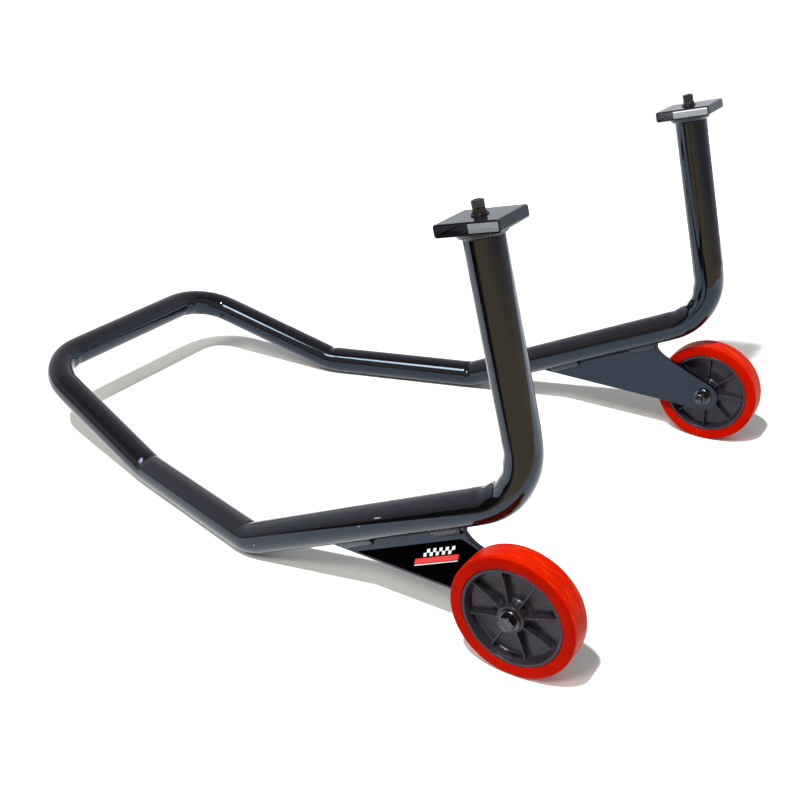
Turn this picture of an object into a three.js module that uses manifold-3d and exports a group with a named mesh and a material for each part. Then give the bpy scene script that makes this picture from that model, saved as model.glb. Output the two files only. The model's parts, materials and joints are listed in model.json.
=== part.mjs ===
// Rear paddock stand for a motorcycle, in millimetres, +Z up.
// +X points from the handle to the wheels, +Y to the left side, and the origin is on the floor
// under the middle of the stand's box. The right side is the left side mirrored in Y.
// The frame is round tube, bent to a handle and two sides. It stands on the two low straights behind
// the handle and on the two wheels, and each upright carries a flat sleeve for an adapter bar.
import * as THREE from "three";
import { mergeVertices } from "three/addons/utils/BufferGeometryUtils.js";
import Module from "manifold-3d";

const wasm = await Module();
wasm.setup();

// ---- frame tube ----
const TUBE_R = 16;
const TUBE_WALL = 2;
const GAP = 0.3; // clearance that stands for the contact between two pieces
// corners of the tube's centre line on the left side; x counts from the wheel axle
const HANDLE = new THREE.Vector3(-678, 133.5, 83);
const HEEL = new THREE.Vector3(-485, 170, TUBE_R);
const TOE = new THREE.Vector3(-298, 220.5, TUBE_R);
const KNEE = new THREE.Vector3(2, 220.5, 154);
const HEAD = new THREE.Vector3(-45, 220.5, 365); // middle of the sleeve's underside
const HANDLE_BEND = 56;
const LOW_BEND = 38;
const KNEE_BEND = 58;
const BEND_FLATTENING = 0.1; // share of the radius that the outside of a bend loses
const TUBE_SEGMENTS = 9; // segments of each half of the tube's section
const BEND_STEP = 0.17; // radians between two rings of a bend

// ---- wheel ----
const WHEEL_R = 56.5;
const TYRE_WIDTH = 25;
const TYRE_INNER_R = 45.8;
const SHOULDER_R = 3;
const CORE_R = 45.5;
const CORE_WIDTH = 23.4;
const HUB_R = 12;
const HUB_WIDTH = 25.4;
const HUB_BORE_R = 6.4;
const RIB_COUNT = 8;
const RIB_WIDTH = 2;
const RIB_PHASE = { left: 0, right: THREE.MathUtils.degToRad(17) };
const WHEEL_SEGMENTS = 40;

// ---- axle stack, as distances from the middle plane of the stand ----
const PLATE_WIDTH = 5;
const PLATE_INNER_Y = HEAD.y - PLATE_WIDTH / 2;
const PLATE_OUTER_Y = HEAD.y + PLATE_WIDTH / 2;
const WASHER_R = 9.5;
const WASHER_WIDTH = 2;
const BOLT_R = 4;
const BOLT_LENGTH = 50;
const BOLT_HEAD_FLATS = 13;
const BOLT_HEAD_HEIGHT = 5.3;
const NUT_HEIGHT = 8;
const NUT_HEX_HEIGHT = 5.6;
const BORE_CLEARANCE = 0.4;
const SLEEVE_R = 6;
const SPACER_Y = PLATE_OUTER_Y + GAP;
const SLEEVE_Y = SPACER_Y + WASHER_WIDTH + GAP;
const SLEEVE_LENGTH = HUB_WIDTH + 0.8;
const OUTER_WASHER_Y = SLEEVE_Y + SLEEVE_LENGTH + GAP;
const BOLT_HEAD_Y = OUTER_WASHER_Y + WASHER_WIDTH + GAP;
const NUT_WASHER_Y = PLATE_INNER_Y - GAP - WASHER_WIDTH;
const NUT_Y = NUT_WASHER_Y - GAP;
const WHEEL_Y = SLEEVE_Y + SLEEVE_LENGTH / 2;

// ---- bracket plate, in the side view with x counted from the axle ----
const PLATE_END_R = 16.5;
const PLATE_TIP_X = -196;
const PLATE_TOP_X = -60; // where the plate's rear edge leaves the tube
const PLATE_HOLLOW_PULL = new THREE.Vector2(-55.3, 98.5);
const PLATE_HOLLOW_END = new THREE.Vector2(-46.8, 94.5);
const WELD_SPANS = { front: [-192, -158], rear: [-95, -66] }; // x of the two stitch welds of a face
const WELD_WIDTH = 5.4;
const WELD_HEIGHT = 5.4;

// ---- label on the outer face of the plate ----
const LABEL_THICKNESS = 0.3;
const LABEL_MARGIN = 3;
const LABEL_TOP_MARGIN = 10;
const LABEL_END_X = -20;

// ---- adapter sleeve and its clamp screw ----
const SLEEVE_BOX = { width: 55, height: 10, length: 44, wall: 1.6, corner: 2.2 };
const CLAMP_NUT = { flats: 10, height: 4.5 };
const CLAMP_SCREW = { shankR: 2.6, length: 7, headR: 5, headHeight: 6, hexFlats: 5, hexDepth: 3 };
const CLAMP_BORE_R = 3.1;
const ROUND_SEGMENTS = 20;

const COLOURS = {
  paint: { color: 0x15171b, roughness: 0.15, metalness: 0.1 },
  tyre: { color: 0xe0300a, roughness: 0.35, metalness: 0 },
  core: { color: 0x2a2a30, roughness: 0.45, metalness: 0 },
  zinc: { color: 0x5c6064, roughness: 0.3, metalness: 0.9 },
  label: { color: 0x050505, roughness: 0.25, metalness: 0 },
};

// ---- small helpers ----

function mesh(name, geometry, finish) {
  const piece = new THREE.Mesh(geometry, new THREE.MeshStandardMaterial(COLOURS[finish]));
  piece.name = name;
  return piece;
}

function toSolid(geometry) {
  const bare = geometry.clone();
  bare.deleteAttribute("normal");
  bare.deleteAttribute("uv");
  const merged = mergeVertices(bare, 1e-4);
  const vertProperties = new Float32Array(merged.attributes.position.array);
  const triVerts = new Uint32Array(merged.index.array);
  return new wasm.Manifold(new wasm.Mesh({ numProp: 3, vertProperties, triVerts }));
}

function toGeometry(solid) {
  const data = solid.getMesh();
  const geometry = new THREE.BufferGeometry();
  geometry.setAttribute("position", new THREE.BufferAttribute(data.vertProperties, 3));
  geometry.setIndex(new THREE.BufferAttribute(data.triVerts, 1));
  geometry.computeVertexNormals();
  return geometry;
}

// a turned piece with its axis along Z, from [radius, z] pairs
function turned(pairs, segments = ROUND_SEGMENTS) {
  const profile = pairs.map(([r, z]) => new THREE.Vector2(r, z));
  return new THREE.LatheGeometry(profile, segments).rotateX(Math.PI / 2);
}

// a ring of rectangular section around Z, from z = 0 upward
function ring(innerR, outerR, height) {
  return turned([[innerR, 0], [outerR, 0], [outerR, height], [innerR, height], [innerR, 0]]);
}

// a hexagonal prism around Z, from z = 0 upward
function hexPrism(flats, height) {
  const corners = [];
  for (let i = 0; i < 6; i += 1) {
    const angle = i * Math.PI / 3;
    const r = flats / Math.sqrt(3);
    corners.push(new THREE.Vector2(r * Math.cos(angle), r * Math.sin(angle)));
  }
  return new THREE.ExtrudeGeometry(new THREE.Shape(corners), { depth: height, bevelEnabled: false });
}

// a cone-edged cylinder that trims the corners of a hexagon on its free end, at z = height
function chamferTool(flats, height) {
  const cut = 0.8;
  const edge = flats * 0.48;
  return turned([[0, -1], [flats, -1], [flats, height - cut], [edge, height], [0, height]]);
}

// ---- frame tube ----

// The centre line through the corners, with a round bend at each inner corner. Its stations are
// close together in the bends only, and each one says how far the bend's outside is flattened there.
class BentTubeCurve extends THREE.Curve {
  constructor(corners, radii) {
    super();
    this.stations = [];
    for (let i = 0; i < corners.length; i += 1) {
      if (radii[i] > 0) {
        this.addBend(corners[i - 1], corners[i], corners[i + 1], radii[i]);
      } else {
        const end = i === 0 ? corners[1] : corners[i - 1];
        const tangent = corners[i].clone().sub(end).normalize().multiplyScalar(i === 0 ? -1 : 1);
        this.stations.push({ point: corners[i].clone(), tangent, outward: new THREE.Vector3(), share: 0 });
      }
    }
  }

  addBend(before, corner, after, radius) {
    const from = corner.clone().sub(before).normalize();
    const to = after.clone().sub(corner).normalize();
    const angle = from.angleTo(to);
    const axis = from.clone().cross(to).normalize();
    const start = corner.clone().addScaledVector(from, -radius * Math.tan(angle / 2));
    const outwardAtStart = from.clone().cross(axis);
    const centre = start.clone().addScaledVector(outwardAtStart, -radius);
    const count = Math.ceil(angle / BEND_STEP);
    for (let i = 0; i <= count; i += 1) {
      const turn = angle * i / count;
      const outward = outwardAtStart.clone().applyAxisAngle(axis, turn);
      this.stations.push({
        point: centre.clone().addScaledVector(outward, radius),
        tangent: from.clone().applyAxisAngle(axis, turn),
        outward,
        share: Math.sin(Math.PI * i / count),
      });
    }
  }

  get steps() {
    return this.stations.length - 1;
  }

  getPointAt(u, target = new THREE.Vector3()) {
    return target.copy(this.stations[Math.round(u * this.steps)].point);
  }

  getTangentAt(u, target = new THREE.Vector3()) {
    return target.copy(this.stations[Math.round(u * this.steps)].tangent);
  }
}

// Pressing a bend without a mandrel pulls its outer wall in, most in the middle of the bend.
function flattenBends(geometry, curve) {
  const position = geometry.attributes.position;
  const vertex = new THREE.Vector3();
  for (let i = 0; i < position.count; i += 1) {
    vertex.fromBufferAttribute(position, i);
    let nearest = curve.stations[0];
    for (const station of curve.stations) {
      if (station.point.distanceToSquared(vertex) < nearest.point.distanceToSquared(vertex)) {
        nearest = station;
      }
    }
    const reach = vertex.clone().sub(nearest.point).dot(nearest.outward);
    if (reach > 0) {
      vertex.addScaledVector(nearest.outward, -reach * BEND_FLATTENING * nearest.share);
      position.setXYZ(i, vertex.x, vertex.y, vertex.z);
    }
  }
  return geometry;
}

// one tube of the frame, hollow and open at both ends
function frameTube(name, corners, radii) {
  const curve = new BentTubeCurve(corners, radii);
  const section = new THREE.Shape().absarc(0, 0, TUBE_R, 0, 2 * Math.PI);
  section.holes.push(new THREE.Path().absarc(0, 0, TUBE_R - TUBE_WALL, 0, 2 * Math.PI, true));
  const tube = new THREE.ExtrudeGeometry(section, {
    steps: curve.steps, curveSegments: TUBE_SEGMENTS, extrudePath: curve,
  });
  return mesh(name, flattenBends(tube, curve), "paint");
}

// The handle tube ends in the middle of each low straight, where a side tube begins.
function handleTube() {
  const end = HEEL.clone().lerp(TOE, 0.5).addScaledVector(lowDirection(), -GAP / 2);
  const left = [HANDLE, HEEL, end].map((corner) => corner.clone());
  const right = left.map((corner) => new THREE.Vector3(corner.x, -corner.y, corner.z)).reverse();
  const radii = [0, LOW_BEND, HANDLE_BEND, HANDLE_BEND, LOW_BEND, 0];
  return frameTube("handle_tube", [...right, ...left], radii);
}

function sideTube(name, side) {
  const start = HEEL.clone().lerp(TOE, 0.5).addScaledVector(lowDirection(), GAP / 2);
  const top = HEAD.clone().addScaledVector(uprightDirection(), -GAP);
  const corners = [start, TOE, KNEE, top].map((corner) => corner.clone());
  for (const corner of corners) {
    corner.y *= side;
  }
  return frameTube(name, corners, [0, LOW_BEND, KNEE_BEND, 0]);
}

// unit direction of the left low straight, from the heel to the toe
function lowDirection() {
  return TOE.clone().sub(HEEL).normalize();
}

function uprightDirection() {
  return HEAD.clone().sub(KNEE).normalize();
}

// unit direction of the arm from the toe to the knee, in the side view
function armDirection() {
  return new THREE.Vector2(KNEE.x - TOE.x, KNEE.z - TOE.z).normalize();
}

// ---- bracket, its welds and its label ----

// a line of the side view, from `point` towards `end`
function lineThrough(point, end) {
  return { point: point.clone(), direction: end.clone().sub(point).normalize() };
}

// the same line moved to the left of its direction
function movedLeft(line, distance) {
  const left = new THREE.Vector2(-line.direction.y, line.direction.x);
  return { point: line.point.clone().addScaledVector(left, distance), direction: line.direction };
}

function meeting(a, b) {
  const along = b.point.clone().sub(a.point).cross(b.direction) / a.direction.cross(b.direction);
  return a.point.clone().addScaledVector(a.direction, along);
}

function atX(line, x) {
  return line.point.clone().addScaledVector(line.direction, (x - line.point.x) / line.direction.x);
}

// the line along the arm, `below` under the tube's axis, from the toe towards the knee
function underArm(below) {
  const axis = lineThrough(new THREE.Vector2(TOE.x, TOE.z), new THREE.Vector2(KNEE.x, KNEE.z));
  return movedLeft(axis, -below);
}

// angle on the plate's round end where a line from `point` touches it
function touchAngle(point, side) {
  const reach = point.clone().sub(new THREE.Vector2(0, WHEEL_R));
  return reach.angle() + side * Math.acos(PLATE_END_R / reach.length());
}

function onRoundEnd(angle) {
  return new THREE.Vector2(Math.cos(angle), Math.sin(angle)).multiplyScalar(PLATE_END_R)
    .add(new THREE.Vector2(0, WHEEL_R));
}

const plateTop = underArm(TUBE_R + GAP);
const plateTip = atX(plateTop, PLATE_TIP_X);
const lowerTouch = touchAngle(plateTip, 1);
const rearTouch = touchAngle(PLATE_HOLLOW_END, -1);

// a geometry drawn in the side view and `width` thick, its near face at `y` outboard
function sidePlate(shape, width, side, y) {
  const plate = new THREE.ExtrudeGeometry(shape, { depth: width, bevelEnabled: false, curveSegments: 12 });
  plate.rotateX(Math.PI / 2);
  return plate.translate(0, side > 0 ? y + width : -y, 0);
}

function bracket(name, side) {
  const shape = new THREE.Shape();
  shape.moveTo(plateTip.x, plateTip.y);
  shape.lineTo(onRoundEnd(lowerTouch).x, onRoundEnd(lowerTouch).y);
  shape.absarc(0, WHEEL_R, PLATE_END_R, lowerTouch, rearTouch + 2 * Math.PI);
  shape.lineTo(PLATE_HOLLOW_END.x, PLATE_HOLLOW_END.y);
  const corner = atX(plateTop, PLATE_TOP_X);
  shape.quadraticCurveTo(PLATE_HOLLOW_PULL.x, PLATE_HOLLOW_PULL.y, corner.x, corner.y);
  shape.holes.push(new THREE.Path().absarc(0, WHEEL_R, BOLT_R + BORE_CLEARANCE, 0, 2 * Math.PI, true));
  return mesh(name, sidePlate(shape, PLATE_WIDTH, side, PLATE_INNER_Y), "paint");
}

// The label keeps clear of the welds under the tube and of the plate's other edges.
function label(name, side) {
  const top = underArm(TUBE_R + LABEL_TOP_MARGIN);
  const lower = movedLeft(lineThrough(plateTip, onRoundEnd(lowerTouch)), LABEL_MARGIN);
  const rear = movedLeft(lineThrough(PLATE_HOLLOW_END, onRoundEnd(rearTouch)), -LABEL_MARGIN);
  const start = meeting(top, lower);
  const hollowEnd = atX(rear, PLATE_HOLLOW_END.x - LABEL_MARGIN);
  const corner = atX(top, PLATE_TOP_X - LABEL_MARGIN / 2);
  const pull = PLATE_HOLLOW_PULL.clone().sub(new THREE.Vector2(LABEL_MARGIN, LABEL_MARGIN));
  const shape = new THREE.Shape();
  shape.moveTo(start.x, start.y);
  shape.lineTo(LABEL_END_X, atX(lower, LABEL_END_X).y);
  shape.lineTo(LABEL_END_X, atX(rear, LABEL_END_X).y);
  shape.lineTo(hollowEnd.x, hollowEnd.y);
  shape.quadraticCurveTo(pull.x, pull.y, corner.x, corner.y);
  return mesh(name, sidePlate(shape, LABEL_THICKNESS, side, PLATE_OUTER_Y + GAP), "label");
}

// A stitch weld fills the corner between the tube's underside and one face of the plate. Its section
// is drawn with x away from the plate and y below the tube's axis, and it runs along the arm.
function stitchWeld(name, side, face, span) {
  const inner = PLATE_WIDTH / 2 + GAP;
  const seat = TUBE_R + GAP;
  const section = new THREE.Shape();
  section.moveTo(inner, -Math.sqrt(seat ** 2 - inner ** 2));
  for (const across of [inner + WELD_WIDTH / 2, inner + WELD_WIDTH]) {
    section.lineTo(across, -Math.sqrt(seat ** 2 - across ** 2));
  }
  section.lineTo(inner + WELD_WIDTH * 0.8, -seat - WELD_HEIGHT * 0.25);
  section.lineTo(inner + WELD_WIDTH * 0.45, -seat - WELD_HEIGHT * 0.65);
  section.lineTo(inner, -seat - WELD_HEIGHT);
  const axis = underArm(0);
  const start = atX(axis, span[0]);
  const end = atX(axis, span[1]);
  const length = start.distanceTo(end);
  const bead = new THREE.ExtrudeGeometry(section, { depth: length, bevelEnabled: false });
  // section x to the face's side, section y up, and the run along +X
  const basis = new THREE.Matrix4().makeBasis(
    new THREE.Vector3(0, -1, 0), new THREE.Vector3(0, 0, 1), new THREE.Vector3(-1, 0, 0),
  );
  bead.translate(0, 0, -length).applyMatrix4(basis);
  if (side * face > 0) {
    // the bead on the other face is the same bead turned about the vertical
    bead.rotateZ(Math.PI).translate(length, 0, 0);
  }
  bead.rotateY(-armDirection().angle());
  const piece = mesh(name, bead, "paint");
  piece.position.set(start.x, side * HEAD.y, start.y);
  return piece;
}

// ---- wheel ----

function tyre(name) {
  const half = TYRE_WIDTH / 2;
  const profile = [[TYRE_INNER_R, -half], [WHEEL_R - SHOULDER_R, -half]];
  for (const turn of [30, 60]) {
    const angle = THREE.MathUtils.degToRad(turn);
    profile.push([
      WHEEL_R - SHOULDER_R * (1 - Math.sin(angle)), -half + SHOULDER_R * (1 - Math.cos(angle)),
    ]);
  }
  profile.push([WHEEL_R, -half + SHOULDER_R]);
  const mirrored = profile.slice().reverse().map(([r, z]) => [r, -z]);
  return mesh(name, turned([...profile, ...mirrored, profile[0]], WHEEL_SEGMENTS), "tyre");
}

// Hub, thin web and rim in one turned piece, with ribs on both faces of the web.
function wheelCore(name, phase) {
  const hubHalf = HUB_WIDTH / 2;
  const rimHalf = CORE_WIDTH / 2;
  const half = [
    [HUB_BORE_R, hubHalf], [HUB_R - 1, hubHalf], [HUB_R, hubHalf - 1], [HUB_R + 1.5, 4], [HUB_R + 4, 2.5],
    [CORE_R - 8, 2.5], [CORE_R - 5, 4], [CORE_R - 4.2, rimHalf - 3], [CORE_R - 2.8, rimHalf - 1.5],
    [CORE_R - 2.8, rimHalf], [CORE_R, rimHalf],
  ];
  const profile = [...half.slice().reverse(), ...half.map(([r, z]) => [r, -z])];
  let solid = toSolid(turned([...profile, profile[0]], WHEEL_SEGMENTS));
  const rib = new THREE.Shape([
    new THREE.Vector2(HUB_R - 1.5, -hubHalf + 2.2),
    new THREE.Vector2(CORE_R - 3.6, -rimHalf + 3.4),
    new THREE.Vector2(CORE_R - 3.6, rimHalf - 3.4),
    new THREE.Vector2(HUB_R - 1.5, hubHalf - 2.2),
  ]);
  for (let i = 0; i < RIB_COUNT; i += 1) {
    const plate = new THREE.ExtrudeGeometry(rib, { depth: RIB_WIDTH, bevelEnabled: false });
    plate.translate(0, 0, -RIB_WIDTH / 2).rotateX(Math.PI / 2);
    plate.rotateZ(phase + i * 2 * Math.PI / RIB_COUNT);
    solid = solid.add(toSolid(plate));
  }
  return mesh(name, toGeometry(solid), "core");
}

// ---- axle hardware, each with its axis along Z and its inboard end at z = 0 ----

function axleBolt(name) {
  const under = BOLT_LENGTH;
  const head = toSolid(hexPrism(BOLT_HEAD_FLATS, BOLT_HEAD_HEIGHT).translate(0, 0, under))
    .intersect(toSolid(chamferTool(BOLT_HEAD_FLATS, BOLT_HEAD_HEIGHT).translate(0, 0, under)));
  const shank = turned([[0, 0], [BOLT_R - 0.6, 0], [BOLT_R, 0.6], [BOLT_R, under + 1], [0, under + 1]]);
  return mesh(name, toGeometry(head.add(toSolid(shank))), "zinc");
}

// The locking ring of the nut is its inboard end, so it is built upside down and turned over.
function lockNut(name) {
  const across = BOLT_HEAD_FLATS / 2;
  const hex = toSolid(hexPrism(BOLT_HEAD_FLATS, NUT_HEX_HEIGHT))
    .intersect(toSolid(chamferTool(BOLT_HEAD_FLATS, NUT_HEX_HEIGHT)));
  const crown = toSolid(turned([
    [0, 1], [across * 0.94, 1], [across * 0.94, NUT_HEIGHT - 1.2],
    [across * 0.78, NUT_HEIGHT], [0, NUT_HEIGHT],
  ]));
  const bore = toSolid(new THREE.CylinderGeometry(
    BOLT_R + BORE_CLEARANCE, BOLT_R + BORE_CLEARANCE, 3 * NUT_HEIGHT, ROUND_SEGMENTS,
  ).rotateX(Math.PI / 2));
  const nut = toGeometry(hex.add(crown).subtract(bore));
  return mesh(name, nut.rotateX(Math.PI).translate(0, 0, NUT_HEIGHT), "zinc");
}

// puts a piece made around Z on the axle, its z = 0 end `y` away from the middle plane
function onAxle(piece, side, y) {
  piece.rotation.x = -side * Math.PI / 2;
  piece.position.set(0, side * y, WHEEL_R);
  return piece;
}

function axleStack(hand, side) {
  const washer = () => ring(BOLT_R + BORE_CLEARANCE, WASHER_R, WASHER_WIDTH);
  const sleeve = ring(BOLT_R + BORE_CLEARANCE, SLEEVE_R, SLEEVE_LENGTH);
  return [
    onAxle(axleBolt(`${hand}_axle_bolt`), side, BOLT_HEAD_Y - BOLT_LENGTH),
    onAxle(lockNut(`${hand}_axle_nut`), side, NUT_Y - NUT_HEIGHT),
    onAxle(mesh(`${hand}_nut_washer`, washer(), "zinc"), side, NUT_WASHER_Y),
    onAxle(mesh(`${hand}_spacer_washer`, washer(), "zinc"), side, SPACER_Y),
    onAxle(mesh(`${hand}_axle_sleeve`, sleeve, "zinc"), side, SLEEVE_Y),
    onAxle(mesh(`${hand}_head_washer`, washer(), "zinc"), side, OUTER_WASHER_Y),
    onAxle(tyre(`${hand}_tyre`), side, WHEEL_Y),
    onAxle(wheelCore(`${hand}_wheel_core`, RIB_PHASE[hand]), side, WHEEL_Y),
  ];
}

// ---- head of the upright, drawn with z = 0 on the sleeve's underside and Z along the upright ----

function roundedBox(width, height, corner) {
  const w = width / 2 - corner;
  const h = height / 2 - corner;
  const shape = new THREE.Shape();
  shape.absarc(w, h, corner, 0, Math.PI / 2);
  shape.absarc(-w, h, corner, Math.PI / 2, Math.PI);
  shape.absarc(-w, -h, corner, Math.PI, 1.5 * Math.PI);
  shape.absarc(w, -h, corner, 1.5 * Math.PI, 2 * Math.PI);
  return shape;
}

// A short length of flat rectangular tube, open at both ends, with a hole in its top for the screw.
function adapterSocket(name) {
  const { width, height, length, wall, corner } = SLEEVE_BOX;
  const section = roundedBox(width, height, corner);
  section.holes.push(roundedBox(width - 2 * wall, height - 2 * wall, corner - wall));
  const tube = new THREE.ExtrudeGeometry(section, { depth: length, bevelEnabled: false, curveSegments: 4 });
  tube.rotateX(Math.PI / 2).translate(0, length / 2, height / 2);
  const hole = new THREE.CylinderGeometry(CLAMP_BORE_R, CLAMP_BORE_R, 4 * wall, ROUND_SEGMENTS);
  hole.rotateX(Math.PI / 2).translate(0, 0, height);
  return mesh(name, toGeometry(toSolid(tube).subtract(toSolid(hole))), "paint");
}

function socketWeld(name) {
  const inner = TUBE_R + GAP;
  const profile = [[inner, -5], [inner + 1.2, -3], [inner + 4, -GAP], [inner, -GAP], [inner, -5]];
  return mesh(name, turned(profile, 2 * TUBE_SEGMENTS), "paint");
}

function clampNut(name) {
  const hex = toSolid(hexPrism(CLAMP_NUT.flats, CLAMP_NUT.height))
    .intersect(toSolid(chamferTool(CLAMP_NUT.flats, CLAMP_NUT.height)));
  const bore = toSolid(new THREE.CylinderGeometry(
    CLAMP_BORE_R, CLAMP_BORE_R, 4 * CLAMP_NUT.height, ROUND_SEGMENTS,
  ).rotateX(Math.PI / 2));
  return mesh(name, toGeometry(hex.subtract(bore)), "zinc");
}

function clampNutWeld(name) {
  const inner = CLAMP_NUT.flats / Math.sqrt(3) + GAP;
  const profile = [[inner, 0], [inner + 1.1, 0], [inner + 0.4, 1.2], [inner, 1.5], [inner, 0]];
  return mesh(name, turned(profile), "paint");
}

// Cap screw with z = 0 at the underside of its head.
function clampScrew(name) {
  const { shankR, length, headR, headHeight, hexFlats, hexDepth } = CLAMP_SCREW;
  const body = toSolid(turned([
    [0, -length], [shankR - 0.5, -length], [shankR, -length + 0.5], [shankR, 0],
    [headR, 0], [headR, headHeight - 0.5], [headR - 0.5, headHeight], [0, headHeight],
  ]));
  const recess = toSolid(hexPrism(hexFlats, 2 * hexDepth).translate(0, 0, headHeight - hexDepth));
  return mesh(name, toGeometry(body.subtract(recess)), "zinc");
}

function uprightHead(hand, side) {
  const top = SLEEVE_BOX.height;
  const head = new THREE.Group();
  head.position.set(HEAD.x, side * HEAD.y, HEAD.z);
  head.rotation.y = Math.atan2(uprightDirection().x, uprightDirection().z);
  const nut = clampNut(`${hand}_clamp_nut`);
  const nutWeld = clampNutWeld(`${hand}_clamp_nut_weld`);
  const screw = clampScrew(`${hand}_clamp_screw`);
  nut.position.z = top + GAP;
  nutWeld.position.z = top + GAP;
  screw.position.z = top + GAP + CLAMP_NUT.height + GAP;
  head.add(adapterSocket(`${hand}_adapter_socket`), socketWeld(`${hand}_socket_weld`), nut, nutWeld, screw);
  return head;
}

// ---- the whole stand ----

const stand = new THREE.Group();
stand.add(handleTube());
for (const [hand, side] of [["left", 1], ["right", -1]]) {
  stand.add(sideTube(`${hand}_side_tube`, side));
  stand.add(bracket(`${hand}_bracket`, side));
  stand.add(label(`${hand}_label`, side));
  for (const [place, span] of Object.entries(WELD_SPANS)) {
    stand.add(stitchWeld(`${hand}_bracket_weld_${place}_outer`, side, 1, span));
    stand.add(stitchWeld(`${hand}_bracket_weld_${place}_inner`, side, -1, span));
  }
  stand.add(uprightHead(hand, side));
  stand.add(...axleStack(hand, side));
}
// the middle of the box lies between the handle's outer edge and the rear of the wheels
stand.position.x = -(HANDLE.x - TUBE_R + WHEEL_R) / 2;

export default stand;
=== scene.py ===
import json
import math

import bmesh
import bpy
from mathutils import Matrix, Vector, noise


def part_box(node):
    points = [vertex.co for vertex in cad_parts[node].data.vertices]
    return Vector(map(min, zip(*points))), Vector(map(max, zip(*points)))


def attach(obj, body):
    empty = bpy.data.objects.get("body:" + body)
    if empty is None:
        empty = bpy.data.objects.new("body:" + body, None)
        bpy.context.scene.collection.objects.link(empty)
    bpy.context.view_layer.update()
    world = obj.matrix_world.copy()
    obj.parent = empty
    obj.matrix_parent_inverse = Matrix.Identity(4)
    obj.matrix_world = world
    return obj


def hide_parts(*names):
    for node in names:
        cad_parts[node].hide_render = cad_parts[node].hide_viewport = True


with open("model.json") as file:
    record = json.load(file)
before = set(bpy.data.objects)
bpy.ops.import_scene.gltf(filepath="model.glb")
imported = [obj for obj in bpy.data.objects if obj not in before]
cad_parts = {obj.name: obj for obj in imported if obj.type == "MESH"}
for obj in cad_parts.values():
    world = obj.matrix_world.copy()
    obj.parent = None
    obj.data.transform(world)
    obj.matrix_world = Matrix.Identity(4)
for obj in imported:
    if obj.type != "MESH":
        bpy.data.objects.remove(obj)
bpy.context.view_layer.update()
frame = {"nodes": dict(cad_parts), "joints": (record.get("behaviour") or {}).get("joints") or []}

# Looks of a rear paddock stand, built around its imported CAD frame. Metres, +Z up, +X from the
# handle to the wheels, +Y to the left side. The right side is the left side mirrored in Y.

SCENE = bpy.context.scene
HANDS = (("left", 1), ("right", -1))
JOINTS = {joint["name"]: joint for joint in frame["joints"]}

# ---- driving dimensions, the same as the CAD's ----
AXLE = Vector(JOINTS["left_wheel_spin"]["pos_m"])
TUBE_R = 0.016
GAP = 0.0003
UPRIGHT_Y = 0.2205


def from_axle(x, y, z):
    return Vector((AXLE.x + x, y, z))


HANDLE = from_axle(-0.678, 0.1335, 0.083)
HEEL = from_axle(-0.485, 0.170, TUBE_R)
TOE = from_axle(-0.298, UPRIGHT_Y, TUBE_R)
KNEE = from_axle(0.002, UPRIGHT_Y, 0.154)
HEAD = from_axle(-0.045, UPRIGHT_Y, 0.365)
UPRIGHT = (HEAD - KNEE).normalized()

# how each kind of bend was pressed: radius of the centre line, flattening of its outside, depth and
# half length of the dent on its inside, and height and pitch of the wrinkles there
HANDLE_BEND = dict(radius=0.056, flat=0.10, dent=0.0016, dent_length=0.013, wrinkle=0.0004, pitch=0.021)
LOW_BEND = dict(radius=0.026, flat=0.06, dent=0.0019, dent_length=0.0045, wrinkle=0.0002, pitch=0.014)
KNEE_BEND = dict(radius=0.058, flat=0.10, dent=0.0016, dent_length=0.014, wrinkle=0.0005, pitch=0.023)

WHEEL_R = 0.0565
TYRE_HALF = 0.0125
TYRE_INNER_R = 0.0458
CORE_R = 0.0455
CORE_HALF = 0.0117
HUB_R = 0.012
HUB_HALF = 0.0127
HUB_BORE_R = 0.0064
RIB_COUNT = 8
RIB_PHASE = {"left": 0.0, "right": math.radians(17)}

PLATE_HALF = 0.0025
PLATE_END_R = 0.0165
PLATE_TIP_X = AXLE.x - 0.196
PLATE_TOP_X = AXLE.x - 0.060
HOLLOW_PULL = Vector((AXLE.x - 0.0553, 0.0985))
HOLLOW_END = Vector((AXLE.x - 0.0468, 0.0945))
WELD_SPANS = {"front": (AXLE.x - 0.192, AXLE.x - 0.158), "rear": (AXLE.x - 0.095, AXLE.x - 0.066)}
WELD_SIZE = 0.0054
LABEL_THICKNESS = 0.0003

SLEEVE_WIDTH = 0.055
SLEEVE_HEIGHT = 0.010
SLEEVE_LENGTH = 0.044
SLEEVE_WALL = 0.0016
SLEEVE_CORNER = 0.0022

WASHER_R = 0.0095
BOLT_R = 0.0040
BOLT_FLATS = 0.013
BOLT_HEAD_HEIGHT = 0.0053
BOLT_THREAD_LENGTH = 0.0120
BOLT_PITCH = 0.00125
NUT_HEX_HEIGHT = 0.0056
CLEAR_BORE_R = 0.0044
CLAMP_FLATS = 0.010
CLAMP_NUT_HEIGHT = 0.0045
CLAMP_BORE_R = 0.0031
SCREW_R = 0.0026
SCREW_LENGTH = 0.007
SCREW_PITCH = 0.001
SCREW_HEAD_R = 0.0050
SCREW_HEAD_HEIGHT = 0.0060
SCREW_RECESS_FLATS = 0.005
SCREW_RECESS_DEPTH = 0.003


# ---- mesh tools ----

def mesh_object(name, vertices, faces):
    data = bpy.data.meshes.new(name)
    data.from_pydata([tuple(v) for v in vertices], [], faces)
    data.update()
    thing = bpy.data.objects.new(name, data)
    SCENE.collection.objects.link(thing)
    return thing


def tidy_normals(thing):
    shape = bmesh.new()
    shape.from_mesh(thing.data)
    bmesh.ops.remove_doubles(shape, verts=shape.verts, dist=1e-7)
    bmesh.ops.recalc_face_normals(shape, faces=shape.faces)
    shape.to_mesh(thing.data)
    shape.free()


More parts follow.
